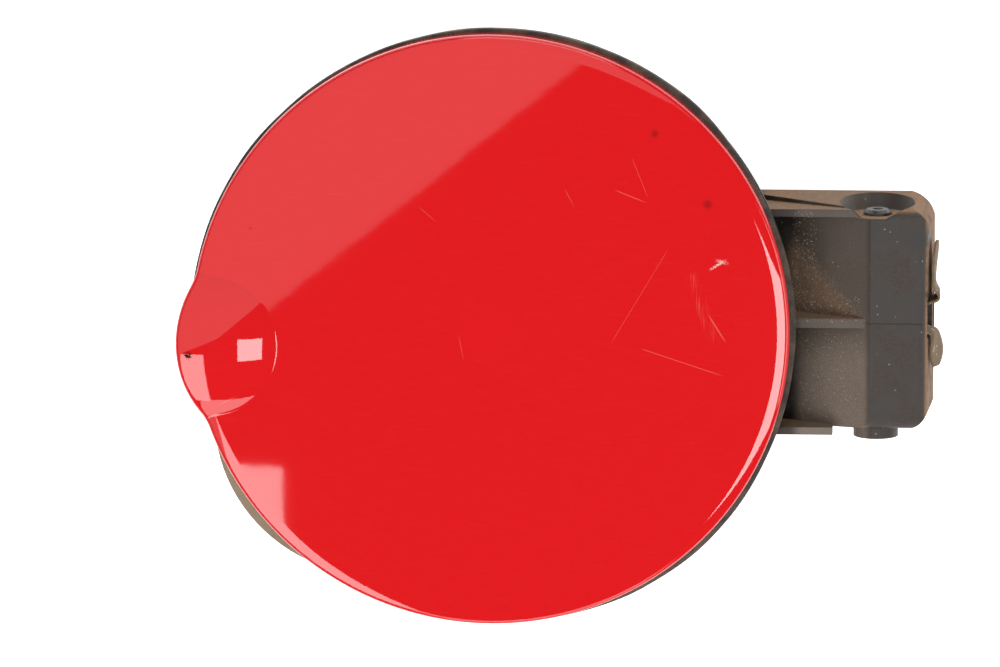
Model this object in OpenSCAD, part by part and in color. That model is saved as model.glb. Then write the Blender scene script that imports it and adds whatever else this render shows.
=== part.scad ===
// Round car fuel door on a swan-neck arm, in the moulded bowl that carries its hinge box.
// +X points to the hinge, +Y up along the car's side and +Z out of the body, in millimetres.
// The origin is the centre of the bowl's flange, on the underside that seats on the body.

/* [Door] */
// Radius of the round door
door_r = 85; // [80:0.5:90]
// Height of the door's crown over the flange seat
crown_z = 12; // [11:0.5:14]
// How much the door's face bulges from its edge to its centre
crown_rise = 2.5; // [1.5:0.5:3.5]
// Thickness of the moulded door skin
skin = 2.2; // [1.8:0.1:2.6]
// Rounding of the door's outer edge
edge_r = 2.4; // [1.5:0.1:3]
// How far the worn door sits left of the bowl's centre
door_left = 0.6; // [0:0.1:0.8]
// How far the worn door sits above the bowl's centre
door_up = 0; // [0:0.1:0.8]

/* [Finger lip] */
// Radius in plan of the round swell that lifts the lip out of the door's face
swell_r = 19.8; // [17:0.2:21]
// Radius of the ball that the swell is a cap of
ball_r = 62; // [52:1:80]
// Distance of the swell's centre inside the door's edge
swell_in = 5.4; // [4:0.1:8]
// Height of the swell's centre above the door's centre
swell_y = -4.6; // [-8:0.2:0]
// Radius of the lip's outline
lip_r = 33.7; // [30:0.1:36]
// How far the lip stands out beyond the round door
lip_out = 4.3; // [3:0.25:5]
// Height of the lip's outline above the door's centre
lip_y = -4; // [-8:0.2:0]
// Height of the lip's straight edge over the door's skirt
lip_h = 6.6; // [5.6:0.1:6.8]
// Rounding of the lip's edge
lip_edge_r = 2; // [1:0.1:2.2]

/* [Bowl] */
// How far the bowl's wall sits inside the door's edge, under the flange
bowl_in = 1; // [0:0.25:2]
// How much narrower the bowl is at its floor
bowl_taper = 4.5; // [2:0.5:6]
// Depth of the bowl's floor, outside, below the flange seat
bowl_depth = 40.5; // [34:0.5:44]
// Wall thickness of the housing
wall = 2; // [1.6:0.1:2.5]
// How far the bowl's flange stands out past the door's edge
flange_out = 0.7; // [0.4:0.1:1.5]
// Thickness of the flange
flange_t = 2; // [1.5:0.1:2.5]
// Width of the soft lip that stands out past the flange
seal_w = 0.6; // [0.5:0.1:1]
// Thickness of the soft lip on top of the flange
seal_t = 0.8; // [0.6:0.1:1]
// Gap between the shut door's skirt and the soft lip
door_gap = 0.5; // [0.3:0.1:0.8]

/* [Filler neck] */
// Direction of the filler neck's axis from the bowl's centre, counted from +X
neck_turn = 220.25; // [212:0.25:225]
// Radius of the well that bulges from the bowl round the neck
well_r = 46; // [43:0.5:47]
// How far the well bulges past the flange
well_out = 6.2; // [5:0.1:9]
// Depth of the well's shelf below the flange seat
well_top = 12; // [10:0.5:15]
// Radius of the hole in the floor for the gaiter
gaiter_hole_r = 37.5; // [35:0.5:39]
// Radius of the filler neck that the gaiter's collar grips
neck_r = 31; // [28:0.5:32]
// Length of the gaiter below the bowl's floor
gaiter_drop = 12.3; // [11.5:0.1:14]
// Wall thickness of the soft gaiter
gaiter_t = 2; // [1.5:0.1:2.5]

/* [Hinge box] */
// Distance of the hinge axis beyond the door's edge
hinge_off = 23.75; // [23.5:0.25:27]
// How far the box's front face reaches beyond the hinge axis
box_beyond = 14.65; // [13.5:0.05:16]
// Height of the box's middle above the bowl's centre
box_up = 2.5; // [0:0.1:4]
// Half height of the box's front face
box_half = 31.8; // [30:0.2:34]
// Depth of the box's front face below the flange seat
box_face = 2; // [1.5:0.25:3]
// Depth of the box from its front face to its back
box_depth = 22; // [20:0.5:24]
// Draft angle of the box's walls
draft = 4.4; // [2:0.2:6]
// Rounding of the box's front edges
box_edge_r = 2.5; // [1.5:0.1:3]
// Radius of the box's right-hand corners
box_corner_r = 7; // [6:0.5:10]
// Distance from the hinge axis back to the crease where the front face starts to slope
crease_back = 1.75; // [1:0.25:5]
// Slope angle of the front face left of the crease
slope = 27.8; // [22:0.2:30]
// Thickness of the wedge rib on the sloping face
wedge_t = 2.8; // [2:0.1:3.5]
// How far the wedge rib sits below the box's middle
wedge_down = 1.3; // [0:0.1:3]
// Width of the low walls along the sloping face
kerb_w = 2.2; // [1.6:0.1:3]

/* [Hinge] */
// Radius of the hinge axle
axle_r = 4; // [3.5:0.1:4.4]
// Running clearance of the arm on the axle
run_gap = 0.06; // [0.03:0.01:0.1]
// Clearance of the axle in the housing
seat_gap = 0.03; // [0.01:0.01:0.05]
// Outer radius of the arm's barrel
barrel_r = 6; // [5.8:0.1:6.4]
// Space between the barrel and the box's front wall
barrel_gap = 0.6; // [0.4:0.1:1]
// Space at each end of the barrel
end_gap = 0.6; // [0.4:0.1:1]
// Radius of the scallop in the top wall round the axle's head, at the box's front edge
scallop_r = 10.5; // [9.5:0.1:11.5]
// How much narrower the scallop is at its floor
scallop_fall = 1.6; // [0.5:0.1:2.5]
// Depth of the scallop into the top wall
scallop_depth = 2.8; // [1:0.1:3.5]
// How far the closed bearing boss stands out of the bottom wall
boss_out = 2.6; // [1:0.1:3]

/* [Swan-neck arm] */
// Inner radius of the neck's bend about the hinge axis
neck_bend_r = 33; // [32.5:0.1:34]
// Thickness of the neck, ribs included
arm_t = 6; // [5:0.2:7]
// Width of the neck
arm_w = 28; // [24:0.5:29]
// Thickness of the arm's ribs and back wall
rib_t = 2.5; // [2:0.1:3]
// Space between the neck and the pocket's floor
pocket_gap = 1.2; // [0.8:0.1:2]
// Space between the neck and the pocket's sides
side_gap = 1.5; // [1:0.1:2]
// How far the arm's plate reaches in under the door, from the door's edge
plate_reach = 59; // [56:0.5:63]
// Width of the arm's plate under the door
plate_w = 44; // [43.5:0.5:46]
// Thickness of the arm's plate
plate_t = 2.6; // [2.2:0.1:3]
// Radius at which the cam's lobe reaches
cam_r = 9.5; // [8.5:0.1:10]

/* [Leaf spring] */
// Thickness of the spring steel
spring_t = 0.6; // [0.4:0.05:0.7]
// Width of the spring along Z
spring_w = 12; // [9:0.5:13]
// Gap between the spring and what it lies on
spring_gap = 0.3; // [0.2:0.05:0.4]
// Length of the spring above the hinge's middle
spring_up = 21.5; // [18:0.5:24]
// Length of the spring below the hinge's middle
spring_down = 14.8; // [12:0.2:17]
// Half width of the window through which the spring reaches the cam
window_half = 5.6; // [5.2:0.1:6.5]

/* [Lock] */
// Direction of the lock's pin from the bowl's centre, counted from +X
lock_turn = 164.6; // [163.4:0.2:165.6]
// Depth of the lock's pin below the flange seat
lock_depth = 12; // [11:0.5:14]
// Radius of the hole in the grommet for the lock's pin
pin_hole_r = 4.1; // [3.5:0.1:4.5]
// Thickness of the grommet's outer flange
grommet_t = 1.6; // [1.2:0.1:2]
// Thickness of the striker
striker_t = 2.5; // [2:0.1:3]
// Length of the striker's foot along the door
striker_l = 11; // [9:0.5:13]
// Width of the striker
striker_w = 14; // [13:0.5:14]

/* [Fixings] */
// Radius of the drain spout
drain_r = 5; // [4:0.1:6]
// Radius of the drain's bore
drain_bore_r = 3.5; // [2.5:0.1:3.8]
// Length of the drain spout below the floor
drain_len = 9; // [7:0.5:10]
// Outer radius of the bosses for the fixing screws
fix_r = 6; // [5:0.1:7]
// Radius of the hole for a fixing screw
fix_bore_r = 2.75; // [2.2:0.05:3.2]
// Radius of the stop buffers' heads
buffer_r = 4.5; // [4:0.1:5]
// Radius of the stop buffers' stems
stem_r = 2; // [1.6:0.1:2.4]
// Shank radius of the screws that hold the arm
screw_r = 1.6; // [1.4:0.1:1.8]
// Clearance round the screws
screw_gap = 0.15; // [0.05:0.05:0.2]

/* [Hidden] */
$fn = 96;

// Places in plan, all counted from the door's edge
bowl_r = door_r - bowl_in;
flange_r = door_r + flange_out;
hinge_x = door_r + hinge_off;
box_right = hinge_x + box_beyond;
crease_x = hinge_x - crease_back;
plate_x = door_r - plate_reach;
neck_off = flange_r + well_out - well_r;
neck_x = neck_off * cos(neck_turn);
neck_y = neck_off * sin(neck_turn);
function turned(r, a) = r * [cos(a), sin(a)];
fix_at = [turned(bowl_r - 17.4, 116.5), turned(bowl_r - 16.5, -47.5)];
drain_at = turned(bowl_r - 19.4, -72);
buffer_at = [turned(bowl_r - 8.6, 124.5), turned(bowl_r - 8.4, 246.8)];

// Heights from the flange seat
seal_top = flange_t + seal_t;
skirt_z = seal_top + door_gap;
hinge_z = -box_face - wall - barrel_gap - barrel_r;
floor_z = wall - bowl_depth;
pocket_r = neck_bend_r + arm_t + pocket_gap;
pocket_half = arm_w / 2 + side_gap;
rest_z = hinge_z - pocket_r - wall;
// Lower edge of the bowl's wall over the pocket, which the opening neck clears
rim_low = hinge_z - 4.4;
pocket_top = hinge_z - barrel_r - 4;

// The door's face is a very flat dome
dome_r = (door_r * door_r + crown_rise * crown_rise) / (2 * crown_rise);
function face_z(r) = crown_z - r * r / (2 * dome_r);

// The swell is a ball's cap that stands square on that dome
swell_at = [swell_in - door_r, swell_y];
lip_x = lip_r - door_r - lip_out;
ball_drop = sqrt(ball_r * ball_r - swell_r * swell_r) + swell_r * swell_r / (2 * dome_r);
ball_at = swell_at * (1 - ball_drop / dome_r);
ball_z = face_z(norm(swell_at)) - ball_drop;

// Height of the arm's plate and the pads that it meets on the door's back
plate_z = face_z(door_r) - skin - 1.1;
screw_x = [plate_x + 7, plate_x + 38];
head_r = 2 * screw_r;
head_t = 1.8;
screw_y = plate_w / 2 - head_r - 1;
screw_top = face_z(screw_x[1]) - skin;

// The grommet's seats on both sides of the wall, and the striker clear of its inner lip
boss_r = pin_hole_r + 4.4;
seat_out = bowl_r - 0.1;
seat_in = sqrt(pow(bowl_r - wall, 2) - boss_r * boss_r) - (lock_depth + boss_r) * bowl_taper / bowl_depth - 1.4;
striker_x = 2.6 - seat_in;

// Shelves on the bowl's wall that carry the stop buffers
buffer_base = -4;
pillar_t = 5;

// An arc's points about a centre, from one angle to the other
function arc(c, r, a0, a1, n) = [for (i = [0:n]) let (a = a0 + (a1 - a0) * i / n)
    c + r * [cos(a), sin(a)]];

// A band of even thickness along a path, as one outline
function side(p, i) = let (a = p[max(i - 1, 0)], b = p[min(i + 1, len(p) - 1)], d = b - a)
    [-d[1], d[0]] / norm(d);
function band(p, t) = concat(
    [for (i = [0:len(p) - 1]) p[i] + side(p, i) * t / 2],
    [for (i = [len(p) - 1:-1:0]) p[i] - side(p, i) * t / 2]);

// A shape drawn in X and Z, with thickness along Y about a middle height
module upright(y, t) {
    translate([0, y + t / 2, 0])
        rotate([90, 0, 0])
            linear_extrude(height = t)
                children();
}

module in_hinge() {
    translate([hinge_x, box_up, hinge_z])
        children();
}

// Places a thing drawn about the box's middle
module at_box() {
    translate([0, box_up, 0])
        children();
}

// Places a thing drawn along -X in the direction of the lock's pin
module at_lock() {
    rotate([0, 0, lock_turn - 180])
        children();
}

// Section of the door's skin, inset all round by one amount
module door_section(inset, low) {
    r = door_r - inset;
    round_r = max(edge_r - inset, 0.3);
    polygon(concat(
        [[0, low], [r, low]],
        arc([r - round_r, face_z(r) - inset - round_r], round_r, 0, 88, 6),
        [for (i = [9:-1:0]) [(r - round_r - 1) * i / 9, face_z((r - round_r - 1) * i / 9) - inset]]));
}

// The lip and its swell, inset all round by one amount: the ball cut to the lip's outline
module lip(inset, low) {
    r = lip_r - inset;
    round_r = max(lip_edge_r - inset, 0.3);
    intersection() {
        translate([ball_at[0], ball_at[1], ball_z])
            rotate([90, 0, 0])
                sphere(r = ball_r - inset);
        translate([lip_x, lip_y, 0])
            rotate_extrude()
                polygon(concat([[0, low], [r, low]],
                               arc([r - round_r, skirt_z + lip_h + lip_edge_r - inset - round_r], round_r, 0, 60, 5),
                               [[0, 2 * lip_r]]));
    }
}

module screw_pads() {
    for (x = screw_x, y = [-screw_y, screw_y])
        translate([x, y + box_up, plate_z])
            cylinder(r = 2.6 * screw_r, h = face_z(x) - skin / 2 - plate_z);
    at_lock()
        translate([striker_x, -striker_w / 2, plate_z])
            cube([striker_l, striker_w, face_z(striker_x) - skin / 3 - plate_z]);
}

module door_panel() color([0.85, 0.08, 0.1]) {
    difference() {
        union() {
            translate([-door_left, door_up, 0])
                difference() {
                    union() {
                        rotate_extrude()
                            door_section(0, skirt_z);
                        lip(0, skirt_z);
                    }
                    rotate_extrude()
                        door_section(skin, skirt_z - 1);
                    lip(skin, skirt_z - 1);
                }
            screw_pads();
        }
        for (x = screw_x, y = [-screw_y, screw_y])
            translate([x, y + box_up, plate_z - 1])
                cylinder(r = screw_r + screw_gap, h = screw_top - plate_z + 1 + 0.6);
    }
}

// The soft lip: a flat on the flange and a turned-down edge, with four small tabs
module rim_seal() color([0.16, 0.15, 0.14]) {
    rotate_extrude()
        polygon([[bowl_r - wall + 1, flange_t], [flange_r + 0.05, flange_t],
                 [flange_r + 0.05, 0.3], [flange_r + seal_w, 0.3],
                 [flange_r + seal_w, seal_top - 0.3], [flange_r + seal_w - 0.3, seal_top],
                 [bowl_r - wall + 1, seal_top]]);
    for (a = [92.6, 51.5, 26.6, -22.7])
        rotate([0, 0, a])
            translate([flange_r + seal_w / 2, -1.5, 0.6])
                cube([seal_w, 3, flange_t - 0.3]);
}

// Outline of the hinge box seen along Y, inset all round by one amount
module box_side(inset) {
    face = -box_face - inset;
    right = box_right - inset;
    back = -box_face - box_depth + inset;
    fall = inset * tan(slope / 2);
    turn_x = crease_x + fall;
    left = bowl_r - 14;
    round_r = max(box_edge_r - inset, 0.4);
    polygon(concat(
        [[left, back], [right + (face - back) * tan(draft), back]],
        arc([right - round_r, face - round_r], round_r, draft, 90, 6),
        [[turn_x, face], [left, face - (turn_x - left) * tan(slope)]]));
}

// Outline of the hinge box seen along X
module box_end(inset) {
    face = -box_face - inset;
    half = box_half - inset;
    back = -box_face - box_depth + inset;
    round_r = max(box_edge_r - inset, 0.4);
    foot = half + (face - back) * tan(draft);
    polygon(concat(
        [[-foot, back], [foot, back]],
        arc([half - round_r, face - round_r], round_r, draft, 90, 6),
        arc([round_r - half, face - round_r], round_r, 90, 180 - draft, 6)));
}

// The box's plan as two crossing blocks with a drafted round corner at each right-hand end
module box_plan(inset) {
    left = bowl_r - 24;
    deep = box_face + box_depth + 1;
    r = box_corner_r - inset + 0.25;
    x = box_right - box_corner_r;
    y = box_half - box_corner_r;
    translate([left, -y, -deep])
        cube([box_right - left + box_depth, 2 * y, deep]);
    translate([left, -box_half - box_depth, -deep])
        cube([x - left, 2 * (box_half + box_depth), deep]);
    for (t = [-y, y])
        translate([x, t, -deep])
            cylinder(r1 = r + (deep - box_face) * tan(draft), r2 = r - box_face * tan(draft), h = deep);
}

module box_solid(inset) {
    intersection() {
        upright(0, 4 * box_half)
            box_side(inset);
        translate([bowl_r - 23, 0, 0])
            rotate([90, 0, 90])
                linear_extrude(height = box_right - bowl_r + 2 * box_depth)
                    box_end(inset);
        box_plan(inset);
    }
}

// Half height of the box's inner space at the hinge axis
inner_half = box_half - wall + (-box_face - wall - hinge_z) * tan(draft);
outer_half = box_half + (-box_face - hinge_z) * tan(draft);
scallop_y = box_half - scallop_depth;
cup_end = -outer_half - boss_out;

// A round bar along Y about the hinge axis
module hinge_bar(r, y0, y1) {
    translate([hinge_x, y0, hinge_z])
        rotate([-90, 0, 0])
            cylinder(r = r, h = y1 - y0);
}

module pocket_bar(r, half, x1) {
    intersection() {
        hinge_bar(r, -half, half);
        translate([hinge_x - r - 1, -half - 1, hinge_z - r - 1])
            cube([x1 - hinge_x + r + 1, 2 * half + 2, pocket_top - hinge_z + r + 1]);
    }
}

module bowl_wall(inset) {
    low = -bowl_depth + inset;
    taper = bowl_taper / bowl_depth;
    polygon([[0, low], [bowl_r - inset + low * taper, low], [bowl_r - inset, 0],
             [bowl_r - inset, flange_t + (inset > 0 ? 1 : 0)], [0, flange_t + (inset > 0 ? 1 : 0)]]);
}

// Boss that gives the lock pin's grommet a flat seat on both sides of the wall
module grommet_boss() {
    at_lock()
        translate([-seat_out, 0, -lock_depth])
            rotate([0, 90, 0])
                cylinder(r = boss_r, h = seat_out - seat_in);
}

module housing_outside() {
    rotate_extrude()
        bowl_wall(0);
    difference() {
        cylinder(r = flange_r, h = flange_t);
        translate([0, 0, -1])
            cylinder(r = bowl_r - wall / 2, h = flange_t + 2);
    }
    translate([neck_x, neck_y, -bowl_depth])
        cylinder(r1 = well_r - 2, r2 = well_r, h = bowl_depth - well_top);
    at_box() {
        box_solid(0);
        pocket_bar(pocket_r + wall, pocket_half + wall, box_right + box_depth * tan(draft));
        hinge_bar(barrel_r + 0.4, cup_end, -box_half + 1);
    }
    grommet_boss();
    for (p = fix_at)
        translate([p[0], p[1], rest_z])
            cylinder(r = fix_r, h = -bowl_depth - rest_z + 1);
    translate([drain_at[0], drain_at[1], -bowl_depth - drain_len])
        cylinder(r = drain_r, h = drain_len + 1);
}

module housing_inside() {
    difference() {
        rotate_extrude()
            bowl_wall(wall);
        for (p = buffer_at)
            translate([p[0], p[1], buffer_base - pillar_t])
                cylinder(r = buffer_r + 1.5, h = pillar_t);
        grommet_boss();
    }
    translate([neck_x, neck_y, floor_z])
        cylinder(r1 = well_r - 2 - wall, r2 = well_r - wall, h = bowl_depth - well_top - 2 * wall);
    difference() {
        at_box()
            box_solid(wall);
        cylinder(r = bowl_r, h = 4 * bowl_depth, center = true);
        at_box()
            hinge_bar(scallop_r + wall, scallop_y - wall, scallop_y + 4 * wall);
    }
    at_box() {
        pocket_bar(pocket_r, pocket_half, box_right + box_depth * tan(draft) - wall);
        translate([bowl_r - 5 * wall, -pocket_half, pocket_top - 1])
            cube([6 * wall, 2 * pocket_half, rim_low - pocket_top + 1]);
    }
}

module housing() color([0.27, 0.25, 0.24]) {
    difference() {
        union() {
            difference() {
                housing_outside();
                housing_inside();
            }
            slope_ribs();
        }
        translate([neck_x, neck_y, -bowl_depth - 1])
            cylinder(r = gaiter_hole_r + 0.1, h = wall + 2);
        at_box() {
            hinge_bar(axle_r + seat_gap, cup_end + 1.4, outer_half + 1);
            scallop();
            translate([box_right - 3 * wall, -window_half, hinge_z - spring_w / 2 - 1])
                cube([6 * wall, 2 * window_half, spring_w + 2]);
        }
        at_lock()
            translate([-seat_out - 1, 0, -lock_depth])
                rotate([0, 90, 0])
                    cylinder(r = pin_hole_r + 2.1, h = seat_out - seat_in + 2);
        for (p = fix_at)
            translate([p[0], p[1], rest_z - 1])
                cylinder(r = fix_bore_r, h = floor_z - rest_z + 2);
        translate([drain_at[0], drain_at[1], -bowl_depth - drain_len - 1])
            cylinder(r = drain_bore_r, h = drain_len + wall + 2);
        for (p = buffer_at)
            translate([p[0], p[1], buffer_base - pillar_t - 1])
                cylinder(r = stem_r + 0.05, h = pillar_t + 2);
    }
}

// The hollow in the top wall round the axle's head, wider towards the outside
module scallop() {
    fall = scallop_fall / scallop_depth;
    translate([hinge_x, scallop_y, hinge_z])
        rotate([-90, 0, 0])
            cylinder(r1 = scallop_r - scallop_fall, r2 = scallop_r + 3 * wall * fall, h = scallop_depth + 3 * wall);
}

// A wedge that stands on the sloping face, level with the box's front, from the bowl to one end
module slope_rib(y, t, end) {
    low = -box_face - wall / 2;
    start = sqrt(bowl_r * bowl_r - y * y) - 1;
    upright(y, t)
        polygon([[start, -box_face - 0.8], [end, -box_face - 0.8], [end, low - (crease_x - end) * tan(slope)],
                 [start, low - (crease_x - start) * tan(slope)]]);
}

module slope_ribs() {
    slope_rib(box_up - wedge_down, wedge_t, crease_x);
    slope_rib(box_up + box_half - 0.3 - kerb_w / 2, kerb_w, crease_x);
    slope_rib(box_up - box_half - kerb_w / 2 + 0.3, kerb_w, crease_x - 10.5);
}

module neck_gaiter() color([0.2, 0.19, 0.18]) {
    top = floor_z + 1.6;
    under = -bowl_depth - 1.6;
    low = -bowl_depth - gaiter_drop;
    collar = neck_r + gaiter_t + 0.4;
    translate([neck_x, neck_y, 0])
        rotate_extrude()
            polygon([[gaiter_hole_r - gaiter_t, top], [gaiter_hole_r + 2.5, top],
                     [gaiter_hole_r + 2.5, floor_z], [gaiter_hole_r, floor_z],
                     [gaiter_hole_r, -bowl_depth], [gaiter_hole_r + 2, -bowl_depth],
                     [gaiter_hole_r + 2, under], [gaiter_hole_r, under - 1],
                     [collar, low + 5.5], [collar, low],
                     [neck_r, low], [neck_r, low + 6.2],
                     [gaiter_hole_r - gaiter_t, under - 0.6]]);
}

// Path of the neck about the hinge axis: down inside the bowl, round under the rim, up to the barrel
function neck_path(r, strut_x, top) = let (bend = strut_x - 0.5, c = [0.5, -sqrt(pow(r - bend, 2) - 0.25)],
    meet = 270 + asin(0.5 / (r - bend)))
    concat([[-r, top]], arc([0, 0], r, 180, meet, 16), arc(c, bend, meet + 6, 360, 6),
           [[strut_x, -barrel_r - 2]]);

neck_mid = neck_bend_r + arm_t / 2;
neck_back = neck_bend_r + arm_t - rib_t / 2;
strut_mid = 7.6;
plate_top = plate_z - hinge_z;

module arm_rib(y, t) {
    upright(y, t) {
        polygon(concat(band(neck_path(neck_mid, strut_mid, plate_top), arm_t)));
        polygon([[strut_mid - arm_t / 2 + 0.5, -barrel_r - 3], [strut_mid + arm_t / 2 - 0.5, -barrel_r - 3],
                 [barrel_r + 2.4, 0.5 - barrel_r], [barrel_r - 0.5, 1], [1, 1], [0.5, 0.8 - barrel_r]]);
        polygon([[-neck_mid, 3], [-neck_mid, plate_top - 1], [plate_x + 16 - hinge_x, plate_top - 1],
                 [plate_x + 16 - hinge_x, plate_top - plate_t - 1.5]]);
    }
}

module hinge_arm() color([0.13, 0.13, 0.14]) {
    in_hinge() difference() {
        union() {
            upright(0, arm_w)
                polygon(band(neck_path(neck_back, strut_mid + (arm_t - rib_t) / 2, plate_top), rib_t));
            for (y = [-1, 0, 1])
                arm_rib(y * (arm_w - rib_t) / 2, rib_t);
            translate([plate_x - hinge_x, -plate_w / 2, plate_top - plate_t])
                cube([hinge_x - plate_x - neck_bend_r, plate_w, plate_t]);
            translate([0, end_gap - inner_half, 0])
                rotate([-90, 0, 0])
                    cylinder(r = barrel_r, h = inner_half + scallop_y - wall - 2 * end_gap);
            cam_lobe();
        }
        rotate([90, 0, 0])
            cylinder(r = axle_r + run_gap, h = 200, center = true);
        for (x = screw_x, y = [-screw_y, screw_y])
            translate([x - hinge_x, y, plate_top - plate_t - 1])
                cylinder(r = screw_r + screw_gap, h = plate_t + 2);
    }
}

module cam_lobe() {
    tip = 2.2;
    rotate([0, -28, 0]) {
        translate([cam_r - tip, 4, 0])
            rotate([90, 0, 0])
                cylinder(r = tip, h = 8);
        translate([0, -4, -tip])
            cube([cam_r - tip, 8, 2 * tip]);
    }
}

module hinge_axle() color([0.2, 0.19, 0.19]) {
    at_box()
        hinge_bar(axle_r, cup_end + 1.5, box_half - 1.2);
}

module leaf_spring() color([0.5, 0.4, 0.28]) {
    out = box_right + (-box_face - hinge_z + spring_w / 2) * tan(draft) + spring_gap + spring_t / 2;
    inn = hinge_x + cam_r + 0.35 + spring_t / 2;
    up = spring_up;
    down = spring_down;
    knot = window_half;
    translate([0, box_up, hinge_z - spring_w / 2])
        linear_extrude(height = spring_w)
            polygon(band([[out + 1.6, up], [out + 0.6, 0.85 * up], [out, 0.65 * up], [out, 0.42 * up],
                          [out + 1.3, knot + 0.9], [out + 0.9, knot - 0.4], [out - 1.5, knot - 1.3],
                          [inn + 1, 2.6], [inn, 1.6], [inn, -1.6], [inn + 1, -2.6],
                          [out - 1.5, 1.3 - knot], [out + 0.4, 0.4 - knot], [out + 1.4, -0.5 * down],
                          [out + 2.7, -0.75 * down], [out + 3.5, -down]], spring_t));
}

module stop_buffer(p) {
    top = face_z(norm(p)) - skin - 0.4;
    translate([p[0], p[1], buffer_base])
        rotate_extrude()
            polygon([[0, 0], [buffer_r, 0], [buffer_r, top - buffer_base - 1.2],
                     [buffer_r - 1.2, top - buffer_base], [0, top - buffer_base]]);
    translate([p[0], p[1], buffer_base - pillar_t - 2])
        cylinder(r = stem_r, h = pillar_t + 2.5);
}

module stop_buffer_upper() color([0.15, 0.15, 0.15]) {
    stop_buffer(buffer_at[0]);
}

module stop_buffer_lower() color([0.15, 0.15, 0.15]) {
    stop_buffer(buffer_at[1]);
}

module lock_pin_grommet() color([0.14, 0.14, 0.14]) {
    at_lock()
        translate([0, 0, -lock_depth])
            rotate([0, 90, 0])
                rotate_extrude()
                    polygon([[pin_hole_r, -seat_out - grommet_t], [pin_hole_r + 3.6, -seat_out - grommet_t],
                             [pin_hole_r + 3.6, -seat_out], [pin_hole_r + 2.05, -seat_out],
                             [pin_hole_r + 2.05, -seat_in], [pin_hole_r + 2.9, -seat_in],
                             [pin_hole_r + 2.4, 1.4 - seat_in], [pin_hole_r, 1.4 - seat_in]]);
}

module striker() color([0.12, 0.12, 0.13]) {
    eye_r = pin_hole_r + 0.4;
    low = -lock_depth - eye_r - 3;
    at_lock() difference() {
        union() {
            translate([striker_x, -striker_w / 2, plate_z - striker_t])
                cube([striker_l, striker_w, striker_t]);
            translate([striker_x, -striker_w / 2, low])
                cube([striker_t, striker_w, plate_z - low]);
        }
        translate([striker_x - 1, 0, -lock_depth])
            rotate([0, 90, 0])
                cylinder(r = eye_r, h = striker_t + 2);
    }
}

module door_screws() color([0.55, 0.55, 0.56]) {
    for (x = screw_x, y = [-screw_y, screw_y])
        translate([x, y + box_up, plate_z - plate_t - head_t]) {
            cylinder(r = head_r, h = head_t);
            cylinder(r = screw_r, h = head_t + screw_top - plate_z + plate_t);
        }
}

housing();
rim_seal();
neck_gaiter();
door_panel();
hinge_arm();
hinge_axle();
leaf_spring();
stop_buffer_upper();
stop_buffer_lower();
lock_pin_grommet();
striker();
door_screws();
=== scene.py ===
import math

import bmesh
import bpy
import numpy as np
from mathutils import Matrix, Vector


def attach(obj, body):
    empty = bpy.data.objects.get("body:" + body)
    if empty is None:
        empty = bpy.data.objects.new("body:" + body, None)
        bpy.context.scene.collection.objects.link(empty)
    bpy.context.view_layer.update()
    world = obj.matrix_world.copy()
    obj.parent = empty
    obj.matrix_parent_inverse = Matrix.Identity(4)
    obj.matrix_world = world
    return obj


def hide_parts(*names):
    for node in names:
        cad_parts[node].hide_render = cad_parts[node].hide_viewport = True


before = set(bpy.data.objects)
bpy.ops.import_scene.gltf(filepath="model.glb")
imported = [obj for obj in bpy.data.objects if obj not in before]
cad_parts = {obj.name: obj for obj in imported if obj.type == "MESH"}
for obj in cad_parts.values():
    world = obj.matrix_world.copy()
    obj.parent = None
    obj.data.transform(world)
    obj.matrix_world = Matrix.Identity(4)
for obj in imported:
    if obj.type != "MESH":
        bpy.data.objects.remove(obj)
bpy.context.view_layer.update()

# Housing
# The bowl behind the door with its flange, filler neck well, hinge box and arm pocket.
# One injection moulding in black polypropylene, gone grey-brown with road dust.
# It seats on the car's body by its flange and is held by two studs through its floor.


def linear(colour):
    """Linear RGBA of an sRGB hex colour."""
    parts = [int(colour[i:i + 2], 16) / 255 for i in (1, 3, 5)]
    return [p / 12.92 if p <= 0.04045 else ((p + 0.055) / 1.055) ** 2.4 for p in parts] + [1]


def add(tree, kind, sockets=None, **settings):
    """A node with its settings, and its sockets set to values or linked to other sockets."""
    made = tree.nodes.new(kind)
    for key, value in settings.items():
        setattr(made, key, value)
    for key, value in (sockets or {}).items():
        if isinstance(value, bpy.types.NodeSocket):
            tree.links.new(value, made.inputs[key])
        else:
            made.inputs[key].default_value = value
    return made


def finish_of(name, **shader):
    """A new material, its tree, its Principled shader and the piece's own coordinates in mm."""
    made = bpy.data.materials.new(name)
    made.use_nodes = True
    tree = made.node_tree
    tree.nodes.clear()
    principled = add(tree, "ShaderNodeBsdfPrincipled", shader)
    add(tree, "ShaderNodeOutputMaterial", {"Surface": principled.outputs[0]})
    coords = add(tree, "ShaderNodeTexCoord").outputs["Object"]
    mm = add(tree, "ShaderNodeVectorMath", {0: coords, "Scale": 1000.0}, operation="SCALE").outputs[0]
    return made, tree, principled, mm


def ramp(tree, value, low, high, to_low=0.0, to_high=1.0):
    """A value carried smoothly from one range to another."""
    return add(tree, "ShaderNodeMapRange", {"Value": value, 1: low, 2: high, 3: to_low, 4: to_high},
               interpolation_type="SMOOTHSTEP").outputs[0]


def maths(tree, operation, *values):
    """These values taken together by one operation, from the first to the last."""
    result = values[0]
    for value in values[1:]:
        result = add(tree, "ShaderNodeMath", {0: result, 1: value}, operation=operation).outputs[0]
    return result


def product(tree, *values):
    """All these values multiplied."""
    return maths(tree, "MULTIPLY", *values)


def most(tree, *values):
    """The largest of these values."""
    return maths(tree, "MAXIMUM", *values)


def unsigned(tree, value):
    """A value without its sign."""
    return add(tree, "ShaderNodeMath", {0: value}, operation="ABSOLUTE").outputs[0]


def parts_of(tree, vector):
    """The X, Y and Z of a vector."""
    return add(tree, "ShaderNodeSeparateXYZ", {0: vector}).outputs


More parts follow.
